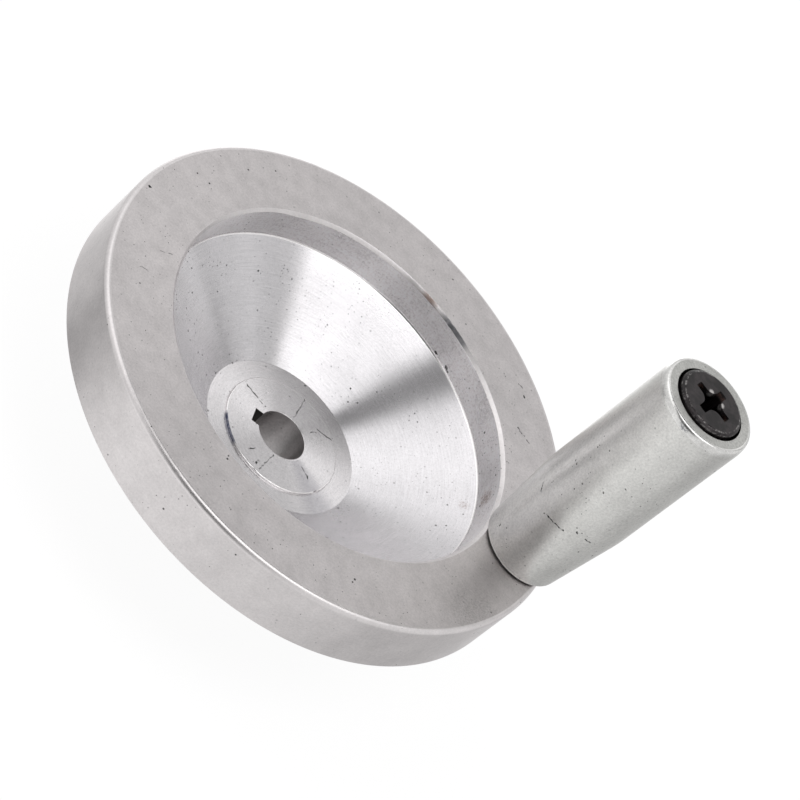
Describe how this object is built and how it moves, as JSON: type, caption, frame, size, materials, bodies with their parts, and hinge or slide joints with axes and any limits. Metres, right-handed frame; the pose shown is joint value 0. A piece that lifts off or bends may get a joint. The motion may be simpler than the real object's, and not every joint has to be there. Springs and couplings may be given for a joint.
{
  "type": "machine handwheel",
  "caption": "Dished machine handwheel with a keyed shaft bore and a revolving steel grip screwed to the rim.",
  "frame": {"origin": "centre of the shaft bore on the hub's back face", "axes": "+Z along the bore towards the dished front and the grip, +X from the bore to the grip's axis"},
  "size_m": [0.1241, 0.12, 0.1014],
  "materials": {
    "turned_aluminium": "turned and lightly polished, with fine circular tool marks, small pits and scratches",
    "plated_steel": "dull zinc plate, mottled, with nicks round the foot of the taper",
    "blackened_steel": "black oxide with traces of rust in the cross recess"
  },
  "bodies": {
    "wheel_body": {"wheel": "turned_aluminium", "handle_screw": "blackened_steel"},
    "grip_body": {"handle_grip": "plated_steel"}
  },
  "joints": [
    {"name": "handle_spin", "type": "hinge", "parent": "wheel_body", "child": "grip_body", "pos_m": [0.0525, 0, 0.0405], "axis": [0, 0, 1], "continuous": true}
  ]
}
